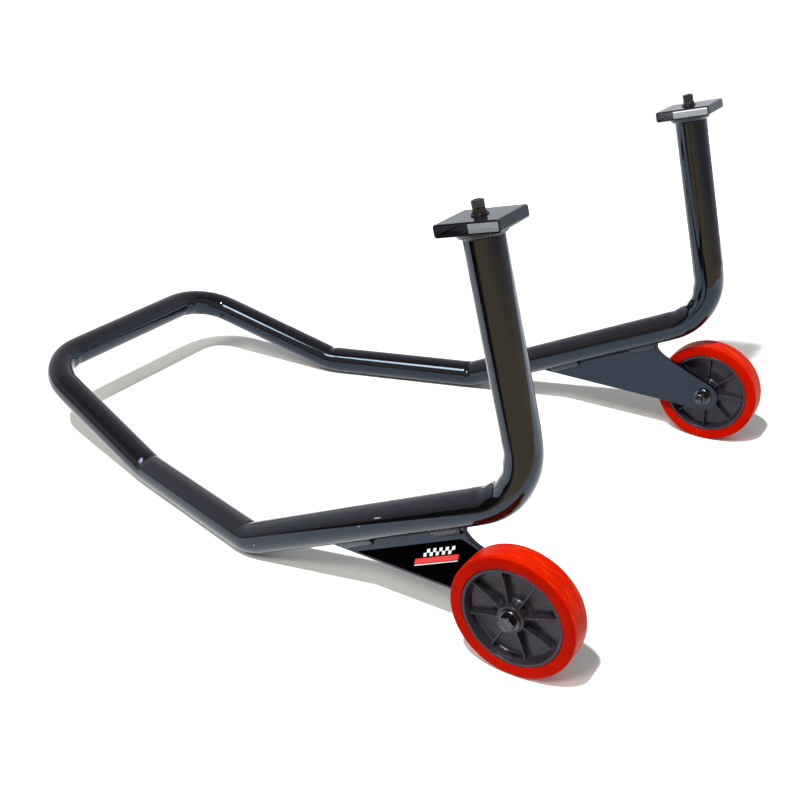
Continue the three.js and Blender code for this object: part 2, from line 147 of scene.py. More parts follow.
def lathe(name, profile, segments=96):
    """A closed piece turned around Z, from (radius, z) pairs that run round its section."""
    vertices = []
    for i in range(segments):
        angle = 2 * math.pi * i / segments
        vertices += [Vector((r * math.cos(angle), r * math.sin(angle), z)) for r, z in profile]
    count = len(profile)
    faces = []
    for i in range(segments):
        here, there = i * count, (i + 1) % segments * count
        for j in range(count):
            k = (j + 1) % count
            if profile[j][0] > 0 or profile[k][0] > 0:
                faces.append((here + j, there + j, there + k, here + k))
    thing = mesh_object(name, vertices, faces)
    tidy_normals(thing)
    return thing


def prism(name, outline, low, high):
    """A solid with the 2-D outline as its section, from z = low to z = high."""
    count = len(outline)
    vertices = [Vector((x, y, z)) for z in (low, high) for x, y in outline]
    faces = [tuple(reversed(range(count))), tuple(range(count, 2 * count))]
    faces += [(i, (i + 1) % count, count + (i + 1) % count, count + i) for i in range(count)]
    thing = mesh_object(name, vertices, faces)
    tidy_normals(thing)
    return thing


def join(target, others):
    """Adds the others' meshes to the target's and removes the others."""
    shape = bmesh.new()
    shape.from_mesh(target.data)
    for other in others:
        shape.from_mesh(other.data)
        bpy.data.objects.remove(other)
    shape.to_mesh(target.data)
    shape.free()
    return target


def keep_modified(thing):
    """Makes the result of the modifiers the piece's own mesh."""
    bpy.context.view_layer.update()
    made = bpy.data.meshes.new_from_object(thing.evaluated_get(bpy.context.evaluated_depsgraph_get()))
    thing.modifiers.clear()
    thing.data = made
    return thing


def combine(thing, tool, operation):
    """Applies a boolean of thing with tool to thing's mesh, and removes the tool."""
    step = thing.modifiers.new("combine", "BOOLEAN")
    step.object = tool
    step.operation = operation
    step.solver = "EXACT"
    keep_modified(thing)
    bpy.data.objects.remove(tool)
    return thing


def soften(thing, width, segments=2):
    """Rounds the sharp edges by the given width."""
    bevel = thing.modifiers.new("edges", "BEVEL")
    bevel.width = width
    bevel.segments = segments
    bevel.limit_method = "ANGLE"
    bevel.angle_limit = math.radians(35)
    flat = thing.modifiers.new("flat faces", "WEIGHTED_NORMAL")
    flat.weight = 100
    return thing


def smooth(thing, angle=40):
    thing.data.shade_smooth()
    thing.data.set_sharp_from_angle(angle=math.radians(angle))
    return thing


def finished(thing, material, slot, body, *nodes):
    """Gives a piece its material and body, and puts it in the place of the CAD nodes. The slot is not used.
    """
    thing.data.materials.clear()
    thing.data.materials.append(material)
    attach(thing, body)
    if nodes:
        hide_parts(*nodes)
    return thing


def moved(thing, matrix):
    thing.data.transform(matrix)
    if matrix.determinant() < 0:
        thing.data.flip_normals()
    return thing


# ---- materials ----

class Graph:
    """A node tree and the few kinds of node that materials and the world are built from."""

    def __init__(self, tree):
        self.tree = tree

    def link(self, source, target):
        """Links an output to an input, or gives the input a plain value."""
        if hasattr(source, "is_output"):
            self.tree.links.new(source, target)
        else:
            target.default_value = source

    def node(self, kind, inputs=(), **settings):
        """A new node with its settings, and its inputs by name or number linked or given a value."""
        made = self.tree.nodes.new("ShaderNode" + kind)
        for key, value in settings.items():
            setattr(made, key, value)
        for key, source in dict(inputs).items():
            self.link(source, made.inputs[key])
        return made

    def math(self, operation, a, b=0.0):
        return self.node("Math", {0: a, 1: b}, operation=operation).outputs[0]

    def vector(self, operation, a, b=(0, 0, 0)):
        return self.node("VectorMath", {0: a, 1: b}, operation=operation).outputs

    def span(self, value, low, high, to_low=0.0, to_high=1.0, kind="SMOOTHSTEP"):
        """value from low..high mapped to to_low..to_high, held at both ends."""
        ends = {"From Min": low, "From Max": high, "To Min": to_low, "To Max": to_high}
        return self.node("MapRange", {"Value": value, **ends}, interpolation_type=kind).outputs["Result"]

    def mix(self, factor, a, b):
        """Colour a where factor is 0 and b where it is 1, each an output or three numbers."""
        a, b = ((*colour, 1) if isinstance(colour, tuple) else colour for colour in (a, b))
        return self.node("Mix", {"Factor": factor, "A": a, "B": b}, data_type="RGBA").outputs["Result"]


class Finish(Graph):
    """A procedural material, built node by node on object coordinates."""

    def __init__(self, name, **values):
        self.material = bpy.data.materials.new(name)
        self.material.use_nodes = True
        super().__init__(self.material.node_tree)
        self.shader = self.tree.nodes["Principled BSDF"]
        self.place = self.node("TexCoord").outputs["Object"]
        for key, value in values.items():
            self.shader.inputs[key.replace("_", " ").title().replace("Ior", "IOR")].default_value = value

    def noise(self, scale, detail=3, roughness=0.55, stretch=None):
        place = self.place
        if stretch:
            place = self.node("Mapping", {"Vector": place, "Scale": stretch}).outputs[0]
        inputs = {"Vector": place, "Scale": scale, "Detail": detail, "Roughness": roughness}
        return self.node("TexNoise", inputs).outputs["Fac"]

    def cells(self, scale):
        return self.node("TexVoronoi", {"Vector": self.place, "Scale": scale}).outputs["Distance"]

    def from_planes(self, y):
        """Distance from the nearer of the two upright planes at y and -y."""
        apart = self.node("SeparateXYZ", {0: self.place})
        away = self.math("ABSOLUTE", apart.outputs["Y"])
        return self.math("ABSOLUTE", self.math("SUBTRACT", away, y))

    def near(self, point, size, turn=0.0):
        """1 at a point in the row frame, falling to 0 at the given half sizes."""
        offset = self.vector("SUBTRACT", self.place, point)[0]
        turned = self.node("VectorRotate", {"Vector": offset, "Angle": turn}, rotation_type="Y_AXIS")
        scaled = self.vector("DIVIDE", turned.outputs[0], size)[0]
        return self.span(self.vector("LENGTH", scaled)["Value"], 0.6, 1.0, 1.0, 0.0)

    def bump(self, height, distance, strength=1.0):
        made = self.node("Bump", {"Strength": strength, "Distance": distance, "Height": height})
        previous = self.shader.inputs["Normal"]
        if previous.is_linked:
            self.link(previous.links[0].from_socket, made.inputs["Normal"])
        self.link(made.outputs["Normal"], previous)

    def set(self, name, value):
        self.link(value, self.shader.inputs[name])


def paint(name, scuffs=()):
    """Gloss blue-black paint: faint orange peel, cloudy gloss, settled dust and a few chips."""
    finish = Finish(name, specular_ior_level=0.58, specular_tint=(0.52, 0.70, 1.0, 1.0))
    cloud = finish.noise(14, detail=4)
    dust = finish.noise(900, detail=2)
    speck = finish.span(finish.cells(95), 0.05, 0.035, 0.0, 1.0)
    patch = finish.span(finish.noise(23, detail=2), 0.62, 0.70)
    chips = finish.math("MULTIPLY", speck, patch)
    scuff = chips
    for point, size, turn in scuffs:
        ragged = finish.span(finish.noise(420, detail=3, stretch=(0.25, 1, 1)), 0.42, 0.50)
        mark = finish.math("MULTIPLY", finish.near(point, size, turn), ragged)
        scuff = finish.math("MAXIMUM", scuff, mark)
    ground = finish.mix(cloud, (0.0010, 0.0011, 0.0013), (0.0022, 0.0022, 0.0027))
    ground = finish.mix(finish.span(dust, 0.62, 0.75, 0.0, 0.16), ground, (0.016, 0.016, 0.019))
    finish.set("Base Color", finish.mix(scuff, ground, (0.22, 0.24, 0.27)))
    gloss = finish.span(cloud, 0.3, 0.7, 0.035, 0.070)
    finish.set("Roughness", finish.math("MAXIMUM", gloss, finish.math("MULTIPLY", scuff, 0.5)))
    finish.bump(finish.noise(330, detail=2), 0.00003, 0.6)
    finish.bump(finish.noise(34, detail=2), 0.0002, 0.35)
    return finish.material


def polyurethane(name):
    """Cast orange-red tyre: uneven colour, fine moulding grain, smudges picked up from the floor, and
    sidewalls painted darker than the tread as painted shade.
    """
    finish = Finish(name, specular_ior_level=0.03, specular_tint=(1.0, 0.20, 0.02, 1.0))
    tone = finish.noise(38, detail=4)
    smudge = finish.span(finish.noise(60, detail=5, roughness=0.65), 0.58, 0.74, 0.0, 0.35)
    streak = finish.span(finish.noise(420, detail=4, stretch=(0.12, 1, 0.12)), 0.54, 0.68, 0.0, 0.55)
    colour = finish.mix(tone, (0.36, 0.0042, 0.0001), (0.52, 0.0120, 0.0004))
    colour = finish.mix(streak, colour, (0.72, 0.062, 0.0004))
    # painted shade: the side faces are coloured darker than the tread, for the light they do not get
    shaded_sidewall = finish.span(finish.from_planes(AXLE.y), TYRE_HALF - 0.0022, TYRE_HALF - 0.0004)
    colour = finish.mix(shaded_sidewall, colour, finish.mix(tone, (0.22, 0.0016, 0.0001), (0.36, 0.0050, 0.0002)))
    finish.set("Base Color", finish.mix(smudge, colour, (0.26, 0.008, 0.001)))
    finish.set("Roughness", finish.span(tone, 0.3, 0.7, 0.30, 0.44))
    finish.bump(finish.noise(700, detail=3), 0.00006, 0.5)
    finish.bump(finish.noise(90, detail=2), 0.0003, 0.25)
    return finish.material


def nylon(name):
    """Moulded dark grey nylon with a fine spark-eroded grain and lighter rubbed patches."""
    finish = Finish(name, specular_ior_level=0.38, specular_tint=(0.85, 0.80, 1.0, 1.0))
    tone = finish.noise(70, detail=4)
    rub = finish.span(finish.noise(260, detail=4), 0.56, 0.72, 0.0, 0.35)
    colour = finish.mix(tone, (0.007, 0.0066, 0.0092), (0.015, 0.0136, 0.0180))
    finish.set("Base Color", finish.mix(rub, colour, (0.032, 0.030, 0.036)))
    finish.set("Roughness", finish.span(tone, 0.3, 0.7, 0.24, 0.38))
    finish.bump(finish.noise(1400, detail=2), 0.00005, 0.5)
    finish.bump(finish.noise(120, detail=2), 0.0002, 0.3)
    return finish.material


def zinc_plate(name):
    """Black-passivated zinc plate: crystalline tone, fine tool marks, dull patches."""
    finish = Finish(name, metallic=1.0)
    tone = finish.noise(420, detail=3)
    dull = finish.span(finish.noise(130, detail=4), 0.45, 0.65)
    colour = finish.mix(tone, (0.042, 0.052, 0.066), (0.11, 0.122, 0.140))
    finish.set("Base Color", finish.mix(dull, colour, (0.055, 0.056, 0.055)))
    gloss = finish.span(tone, 0.3, 0.7, 0.16, 0.26)
    finish.set("Roughness", finish.math("ADD", gloss, finish.math("MULTIPLY", dull, 0.12)))
    finish.bump(finish.noise(2200, detail=2, stretch=(1, 0.15, 1)), 0.00003, 0.5)
    return finish.material


def film(name, low, high, roughness=0.16, shine=0.3):
    """Printed film with a slight ripple from the hand that laid it."""
    finish = Finish(name, specular_ior_level=shine)
    tone = finish.noise(240, detail=3)
    finish.set("Base Color", finish.mix(tone, low, high))
    finish.set("Roughness", finish.span(tone, 0.3, 0.7, roughness, roughness + 0.08))
    finish.bump(finish.noise(60, detail=2), 0.00015, 0.25)
    return finish.material


# ---- frame tube ----

class Bend:
    """One pressed bend of the tube, between two straights."""

    def __init__(self, before, corner, after, kind):
        self.kind = kind
        self.along = (corner - before).normalized()
        turned = (after - corner).normalized()
        self.angle = self.along.angle(turned)
        self.axis = self.along.cross(turned).normalized()
        self.inset = kind["radius"] * math.tan(self.angle / 2)
        self.start = corner - self.along * self.inset
        self.end = corner + turned * self.inset
        self.outward_at_start = self.along.cross(self.axis)
        self.centre = self.start - self.outward_at_start * kind["radius"]
        self.half = kind["radius"] * self.angle / 2

    def outward(self, along):
        """Direction away from the bend's centre, `along` metres from its middle."""
        share = min(max(along / self.half, -1), 1)
        return Matrix.Rotation(self.angle * (share + 1) / 2, 3, self.axis) @ self.outward_at_start

    def point(self, along):
        outward = self.outward(along)
        beyond = max(abs(along) - self.half, 0) * (1 if along > 0 else -1)
        return self.centre + outward * self.kind["radius"] + self.direction(along) * beyond

    def direction(self, along):
        return self.axis.cross(self.outward(along))

    def press(self, along, way):
        """How far the tube's wall is moved at the side of the tube that faces `way`."""
        kind = self.kind
        outward = self.outward(along)
        reach = way.dot(outward)
        outer, inner = max(reach, 0), max(-reach, 0)
        middle = max(math.cos(math.pi / 2 * min(abs(along) / (1.15 * self.half + 0.004), 1)), 0)
        at_dent = math.exp(-(along / kind["dent_length"]) ** 2)
        at_bend = math.exp(-(along / self.half) ** 2)
        wave = math.cos(2 * math.pi * along / kind["pitch"]) * at_bend * inner ** 2
        move = outward * (-outer * TUBE_R * kind["flat"] * middle)
        move += outward * (kind["dent"] * at_dent * inner ** 3)
        move += way * (kind["wrinkle"] * wave)
        move += self.axis * (way.dot(self.axis) * inner * kind["dent"] * 0.5 * at_dent)
        return move


def frame_tube(material):
    """The whole frame as one bent tube, closed at its two tops by the sleeves."""
    corners = [HEAD - UPRIGHT * GAP, KNEE, TOE, HEEL, HANDLE]
    left = [Vector((c.x, -c.y, c.z)) for c in corners]
    corners = left + list(reversed(corners))
    kinds = [KNEE_BEND, LOW_BEND, LOW_BEND, HANDLE_BEND, HANDLE_BEND, LOW_BEND, LOW_BEND, KNEE_BEND]
    bends = [Bend(*corners[i:i + 3], kind) for i, kind in enumerate(kinds)]
    stations = [(corners[0], (corners[1] - corners[0]).normalized(), None, 0)]
    for i, bend in enumerate(bends):
        before = bends[i - 1].end if i else corners[0]
        after = bends[i + 1].start if i + 1 < len(bends) else corners[-1]
        reach_back = min((bend.start - before).length / 2, 0.03)
        reach_on = min((after - bend.end).length / 2, 0.03)
        low, high = -bend.half - reach_back, bend.half + reach_on
        count = round((high - low) / 0.0014)
        for j in range(count + 1):
            along = low + (high - low) * j / count
            stations.append((bend.point(along), bend.direction(along), bend, along))
    stations.append((corners[-1], (corners[-1] - corners[-2]).normalized(), None, 0))

    section = 96
    vertices, faces = [], []
    across = stations[0][1].orthogonal().normalized()
    previous = stations[0][1]
    for point, direction, bend, along in stations:
        across = previous.rotation_difference(direction) @ across
        across = (across - direction * across.dot(direction)).normalized()
        previous = direction
        up = direction.cross(across)
        for k in range(section):
            angle = 2 * math.pi * k / section
            way = across * math.cos(angle) + up * math.sin(angle)
            vertex = point + way * TUBE_R
            if bend:
                vertex += bend.press(along, way)
            vertices.append(vertex)
    for i in range(len(stations) - 1):
        for k in range(section):
            a, b = i * section + k, i * section + (k + 1) % section
            faces.append((a, b, b + section, a + section))
    last = (len(stations) - 1) * section
    faces.append(tuple(reversed(range(section))))
    faces.append(tuple(range(last, last + section)))
    tube = mesh_object("frame_tube_fine", vertices, faces)
    tidy_normals(tube)
    smooth(tube, 60)
    nodes = ("handle_tube", "left_side_tube", "right_side_tube")
    return finished(tube, material, "frame_paint", "frame", *nodes)


# ---- bracket, its label and its welds, drawn in the side view with (x, z) ----

ARM = Vector((KNEE.x - TOE.x, KNEE.z - TOE.z)).normalized()
UNDER = Vector((ARM.y, -ARM.x))


def under_arm(x, below):
    """Point of the side view `below` metres under the arm's axis, at that x."""
    start = Vector((TOE.x, TOE.z)) + UNDER * below
    return start + ARM * ((x - start.x) / ARM.x)


def round_end(angle):
    """Point of the plate's round end, which is centred on the axle."""
    return Vector((AXLE.x + PLATE_END_R * math.cos(angle), WHEEL_R + PLATE_END_R * math.sin(angle)))


def touch_angle(point, side):
    """Angle on the round end where a line from the point touches it."""
    reach = point - Vector((AXLE.x, WHEEL_R))
    return math.atan2(reach.y, reach.x) + side * math.acos(PLATE_END_R / reach.length)


PLATE_TIP = under_arm(PLATE_TIP_X, TUBE_R + GAP)
LOWER_TOUCH = touch_angle(PLATE_TIP, 1)
REAR_TOUCH = touch_angle(HOLLOW_END, -1)


def curve_between(start, pull, end, count=16):
    """Inner points of a curve that leaves start toward pull and arrives at end from it."""
    points = []
    for i in range(1, count):
        t = i / count
        points.append(start * (1 - t) ** 2 + pull * (2 * t * (1 - t)) + end * t ** 2)
    return points


def plate_outline():
    corner = under_arm(PLATE_TOP_X, TUBE_R + GAP)
    sweep = REAR_TOUCH - LOWER_TOUCH
    outline = [PLATE_TIP]
    outline += [round_end(LOWER_TOUCH + sweep * i / 40) for i in range(41)]
    outline += [HOLLOW_END, *curve_between(HOLLOW_END, HOLLOW_PULL, corner), corner]
    return outline


def on_side(side, y):
    """Takes (x, z, depth) to the row frame, with depth counted outboard from y."""
    return Matrix(((1, 0, 0, 0), (0, 0, side, side * y), (0, 1, 0, 0), (0, 0, 0, 1)))


def bracket(hand, side, material):
    plate = prism(f"{hand}_bracket_fine", plate_outline(), -PLATE_HALF, PLATE_HALF)
    moved(plate, on_side(side, UPRIGHT_Y))
    soften(smooth(plate), 0.0006, 3)
    return finished(plate, material, "frame_paint", "frame", f"{hand}_bracket")


def line_meeting(a, a_way, b, b_way):
    along = (b - a).cross(b_way) / a_way.cross(b_way)
    return a + a_way * along


def label_outline(margin=0.003, top_margin=0.010, end_x=AXLE.x - 0.020):
    lower_way = (round_end(LOWER_TOUCH) - PLATE_TIP).normalized()
    lower = PLATE_TIP + Vector((-lower_way.y, lower_way.x)) * margin
    rear_way = (round_end(REAR_TOUCH) - HOLLOW_END).normalized()
    rear = HOLLOW_END + Vector((rear_way.y, -rear_way.x)) * margin
    top = under_arm(TOE.x, TUBE_R + top_margin)
    start = line_meeting(top, ARM, lower, lower_way)
    lower_end = lower + lower_way * ((end_x - lower.x) / lower_way.x)
    rear_end = rear + rear_way * ((end_x - rear.x) / rear_way.x)
    hollow_end = rear + rear_way * ((HOLLOW_END.x - margin - rear.x) / rear_way.x)
    corner = under_arm(PLATE_TOP_X - margin / 2, TUBE_R + top_margin)
    pull = HOLLOW_PULL - Vector((margin, margin))
    return [start, lower_end, rear_end, hollow_end, *curve_between(hollow_end, pull, corner), corner]


def label(hand, side, films):
    """Black film with a made-up decoration: a slanted chequer over two slanted bars."""
    inner = UPRIGHT_Y + PLATE_HALF + GAP
    place = on_side(side, inner)
    base = prism(f"{hand}_label_fine", label_outline(), 0, LABEL_THICKNESS)
    moved(base, place)
    finished(base, films["black"], "label", "frame", f"{hand}_label")
    centre = under_arm(AXLE.x - 0.083, TUBE_R + 0.0235)
    slant = 0.0022
    square = 0.0034

    def patch(name, left, right, low, high, film_name):
        corners = []
        for along, up in ((left, low), (right, low), (right, high), (left, high)):
            corners.append(centre + ARM * (along + up / square * slant) - UNDER * up)
        piece = prism(name, corners, LABEL_THICKNESS + 0.00001, LABEL_THICKNESS + 0.00006)
        moved(piece, place)
        finished(piece, films[film_name], "label", "frame")

    for row in range(2):
        for column in range(10):
            if (row + column) % 2 == 0:
                left = (column - 5) * square
                low = 0.0016 + row * square
                patch(f"{hand}_label_chequer_{row}_{column}", left, left + square, low, low + square, "white")
    patch(f"{hand}_label_bar_red", -0.026, 0.022, -0.0045, 0.0004, "red")
    patch(f"{hand}_label_bar_white", -0.026, 0.022, -0.0060, -0.0052, "white")


def stitch_weld(name, side, face, span, material, node):
    """A rippled bead in the corner between the tube's underside and one face of the plate."""
    start, end = under_arm(span[0], 0), under_arm(span[1], 0)
    length = (end - start).length
    rows, columns = 150, 20
    inner = PLATE_HALF + GAP
    seat = TUBE_R + GAP
    pitch = 0.0024
    vertices, faces = [], []
    for i in range(rows + 1):
        along = length * i / rows
        taper = min(1, math.sqrt(max(min(along, length - along), 0) / 0.0035 + 0.02))
        wander = noise.noise(Vector((along * 300, span[0] * 90, side * face * 3.3)))
        reach = WELD_SIZE * (0.88 + 0.12 * taper) * (1 + 0.06 * wander)
        foot = Vector((inner + reach, -math.sqrt(seat ** 2 - (inner + reach) ** 2)))
        toe = Vector((inner, -seat - reach * (0.55 + 0.45 * taper)))
        corner = Vector((inner, -math.sqrt(seat ** 2 - inner ** 2)))
        for j in range(columns + 1):
            t = j / columns
            flat = foot.lerp(toe, t)
            lift = (flat - corner).normalized()
            lag = 0.0016 * math.sin(math.pi * t)
            phase = (along + lag + 0.0005 * wander) / pitch * 2 * math.pi
            ripple = 0.00016 * (1 - abs(math.sin(phase / 2))) * 2
            bulge = math.sin(math.pi * t) * (0.0007 * taper + ripple)
            spot = flat + lift * bulge
            vertices.append(Vector((along, spot.x, spot.y)))
        vertices.append(Vector((along, corner.x, corner.y)))
    ring = columns + 2
    for i in range(rows):
        for j in range(ring):
            a, b = i * ring + j, i * ring + (j + 1) % ring
            faces.append((a, b, b + ring, a + ring))
    faces.append(tuple(reversed(range(ring))))
    faces.append(tuple(range(rows * ring, rows * ring + ring)))
    bead = mesh_object(name, vertices, faces)
    # x runs along the arm, y away from the plate, z up from the arm's axis
    rise = -UNDER
    frame_matrix = Matrix((
        (ARM.x, 0, rise.x, start.x),
        (0, side * face, 0, side * UPRIGHT_Y),
        (ARM.y, 0, rise.y, start.y),
        (0, 0, 0, 1),
    ))
    moved(bead, frame_matrix)
    tidy_normals(bead)
    smooth(bead, 70)
    return finished(bead, material, "frame_paint", "frame", node)


# ---- wheels ----

def on_axle(side, y):
    """Takes a piece made around Z to the axle, its z = 0 end `y` from the middle plane."""
    return Matrix.Translation((AXLE.x, side * y, WHEEL_R)) @ Matrix.Rotation(-side * math.pi / 2, 4, "X")


def arc(centre, radius, start, end, count):
    points = []
    for i in range(count + 1):
        angle = math.radians(start + (end - start) * i / count)
        points.append((centre[0] + radius * math.cos(angle), centre[1] + radius * math.sin(angle)))
    return points


def mirrored(half):
    """A whole section from its upper half, listed from the middle of the outer rim inwards."""
    return [*half, *((r, -z) for r, z in reversed(half[1:]))]


def tyre(hand, side, y, material):
    shoulder = 0.0024
    lip = 0.0006
    half = [
        (WHEEL_R, 0.0),
        (WHEEL_R - 0.00005, 0.0060),
        *arc((WHEEL_R - shoulder - 0.0001, TYRE_HALF - shoulder), shoulder, 4, 86, 10),
        (WHEEL_R - 0.0055, TYRE_HALF),
        (TYRE_INNER_R + 0.0035, TYRE_HALF - 0.0001),
        *arc((TYRE_INNER_R + lip, TYRE_HALF - 0.0002 - lip), lip, 90, 180, 4),
    ]
    ring = lathe(f"{hand}_tyre_fine", mirrored(half), 192)
    moved(ring, on_axle(side, y))
    smooth(ring, 50)
    return finished(ring, material, "wheel_tread", f"{hand}_wheel", f"{hand}_tyre")


def rib(name, angle, half_thickness=0.0009):
    """A thin radial wall on both faces of the web, thicker at its root and rounded on its edges."""
    inner, outer = HUB_R - 0.001, CORE_R - 0.0033
    top_in, top_out = HUB_HALF - 0.0020, CORE_HALF - 0.0034
    vertices, faces = [], []
    steps, across = 12, 7
    for i in range(steps + 1):
        t = i / steps
        r = inner + (outer - inner) * t
        flare = 0.0006 * max(0, (t - 0.85) / 0.15) ** 2 + 0.0005 * max(0, (0.12 - t) / 0.12)
        top = top_in + (top_out - top_in) * t - 0.0012 * math.sin(math.pi * t)
        for side in (1, -1):
            for j in range(across):
                angle_over = math.pi * j / (across - 1)
                wide, high = (half_thickness + flare) * 1.45, 0.0005
                if 0 < j < across - 1:
                    wide = half_thickness + flare
                    high = top - half_thickness * 0.7 * (1 - math.sin(angle_over))
                vertices.append(Vector((r, side * math.cos(angle_over) * wide, side * high)))
    ring = 2 * across
    for i in range(steps):
        for j in range(ring):
            a, b = i * ring + j, i * ring + (j + 1) % ring
            faces.append((a, b, b + ring, a + ring))
    faces.append(tuple(reversed(range(ring))))
    faces.append(tuple(range(steps * ring, steps * ring + ring)))
    wall = mesh_object(name, vertices, faces)
    moved(wall, Matrix.Rotation(angle, 4, "Z"))
    return wall


def wheel_core(hand, side, y, material):
    """Hub, web and rim turned in one piece, with eight ribs on each face."""
    half = [
        (CORE_R, 0.0),
        (CORE_R, CORE_HALF - 0.0004),
        (CORE_R - 0.0004, CORE_HALF),
        (CORE_R - 0.0022, CORE_HALF),
        *arc((CORE_R - 0.0024, CORE_HALF - 0.0006), 0.0006, 90, 180, 3),
        (CORE_R - 0.0036, CORE_HALF - 0.0024),
        (CORE_R - 0.0042, CORE_HALF - 0.0034),
        (CORE_R - 0.0050, 0.0042),
        *arc((CORE_R - 0.0068, 0.0043), 0.0018, 0, -90, 4),
        (0.0300, 0.0025),
        (HUB_R + 0.0045, 0.0025),
        *arc((HUB_R + 0.0040, 0.0050), 0.0025, -100, -170, 4),
        (HUB_R + 0.0002, HUB_HALF - 0.0012),
        *arc((HUB_R - 0.0008, HUB_HALF - 0.0010), 0.0010, 0, 90, 4),
        (HUB_BORE_R + 0.0008, HUB_HALF),
        (HUB_BORE_R, HUB_HALF - 0.0008),
    ]
    core = lathe(f"{hand}_wheel_core_fine", mirrored(half), 160)
    walls = []
    for i in range(RIB_COUNT):
        walls.append(rib(f"rib_{i}", RIB_PHASE[hand] + i * 2 * math.pi / RIB_COUNT))
    join(core, walls)
    moved(core, on_axle(side, y))
    tidy_normals(core)
    smooth(core, 42)
    return finished(core, material, "wheel_core", f"{hand}_wheel", f"{hand}_wheel_core")


# ---- fasteners, made around Z ----

def hexagon(flats):
    radius = flats / math.sqrt(3)
    return [(radius * math.cos(i * math.pi / 3), radius * math.sin(i * math.pi / 3)) for i in range(6)]


def chamfered_hexagon(name, flats, height, both_ends=False):
    """A hexagonal head or nut from z = 0, its corners trimmed by a cone at the free end."""
    edge = flats * 0.475
    cut = 0.0009
    low = [(0, 0), (edge, 0), (flats * 0.62, cut)] if both_ends else [(0, 0), (flats * 0.62, 0)]
    cone = [*low, (flats * 0.62, height - cut), (edge, height), (0, height)]
    head = prism(name, hexagon(flats), 0, height)
    return combine(head, lathe("cone", cone, 64), "INTERSECT")


def rod(name, radius, low, high):
    return lathe(name, [(0, low), (radius, low), (radius, high), (0, high)], 48)


def bored(thing, radius, low, high):
    return combine(thing, rod("drill", radius, low, high), "DIFFERENCE")


def threaded_end(name, radius, low, high, pitch):
    """A screw's thread as rings of full and root radius, with a chamfered tip at its lower end."""
    root = radius - pitch * 0.42
    profile = [(0, low), (root - 0.0002, low), (root, low + 0.0003)]
    z = low + 0.0005
    while z + pitch < high:
        profile += [(root, z), (radius, z + pitch * 0.45), (radius, z + pitch * 0.58)]
        z += pitch
    profile += [(radius, z + pitch * 0.4), (radius, high), (0, high)]
    return lathe(name, profile, 64)


def washer(name, inner, outer, height):
    """A washer with small chamfers; the one round the top of its rim is the widest."""
    edge = 0.00022
    profile = [
        (inner, edge), (inner + edge, 0), (outer - edge, 0), (outer, edge),
        (outer, height - 0.0005), (outer - 0.0005, height), (inner + edge, height), (inner, height - edge),
    ]
    return lathe(name, profile, 96)


def axle_hardware(hand, side, zinc, insert):
    """Washers, bolt and lock nut of one wheel, each where its CAD node is."""
    lug = f"{hand}_"

    def out(node):
        """Least and greatest distance of a node from the middle plane."""
        low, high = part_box(node)
        return sorted((abs(low.y), abs(high.y)))

    def fit(thing, node, material, start):
        moved(thing, on_axle(side, start))
        smooth(thing, 35)
        return finished(thing, material, "zinc", "frame", *([node] if node else []))

    for name in ("nut_washer", "head_washer"):
        node = lug + name
        low, high = out(node)
        ring = washer(node + "_fine", CLEAR_BORE_R, WASHER_R, high - low)
        if name == "nut_washer":
            moved(ring, Matrix.Translation((0, 0, high - low)) @ Matrix.Rotation(math.pi, 4, "X"))
        fit(ring, node, zinc, low)

    low, high = out(lug + "axle_bolt")
    under_head = high - BOLT_HEAD_HEIGHT - low
    bolt = threaded_end(lug + "axle_bolt_fine", BOLT_R, 0, BOLT_THREAD_LENGTH + 0.0005, BOLT_PITCH)
    shank = rod("shank", BOLT_R, BOLT_THREAD_LENGTH, under_head)
    head = chamfered_hexagon("head", BOLT_FLATS, BOLT_HEAD_HEIGHT)
    keep_modified(soften(head, 0.00025))
    moved(head, Matrix.Translation((0, 0, under_head)) @ Matrix.Rotation(math.radians(11), 4, "Z"))
    join(bolt, [shank, head])
    fit(bolt, lug + "axle_bolt", zinc, low)

    low, high = out(lug + "axle_nut")
    height = high - low
    nut = chamfered_hexagon(lug + "axle_nut_fine", BOLT_FLATS, NUT_HEX_HEIGHT, both_ends=True)
    crown = lathe("crown", [
        (0, 0.004), (0.0060, 0.004), (0.0060, height - 0.0012),
        *arc((0.0048, height - 0.0012), 0.0012, 0, 90, 5), (0, height),
    ], 72)
    combine(nut, crown, "UNION")
    bored(nut, CLEAR_BORE_R, -0.01, 0.02)
    keep_modified(soften(nut, 0.0002))
    turn = Matrix.Translation((0, 0, height)) @ Matrix.Rotation(math.pi, 4, "X")
    moved(nut, turn @ Matrix.Rotation(math.radians(8), 4, "Z"))
    fit(nut, lug + "axle_nut", zinc, low)
    inner, outer = BOLT_R + 0.00005, CLEAR_BORE_R - 0.00005
    bottom, top = height - 0.0026, height - 0.0005
    section = [(inner, bottom), (outer, bottom), (outer, top), (inner, top)]
    collar = lathe(lug + "axle_nut_insert", section, 64)
    moved(collar, turn)
    fit(collar, None, insert, low)


# ---- head of each upright, drawn with z = 0 on the sleeve's underside and Z along the upright ----

def head_place(side):
    """Takes a piece of the head to the top of its upright."""
    tilt = math.atan2(UPRIGHT.x, UPRIGHT.z)
    spot = Vector((HEAD.x, side * HEAD.y, HEAD.z))
    return Matrix.Translation(spot) @ Matrix.Rotation(tilt, 4, "Y")


def rounded_rectangle(width, height, corner, count=8):
    w, h = width / 2 - corner, height / 2 - corner
    points = []
    for (x, y), start in (((w, h), 0), ((-w, h), 90), ((-w, -h), 180), ((w, -h), 270)):
        points += arc((x, y), corner, start, start + 90, count)
    return points


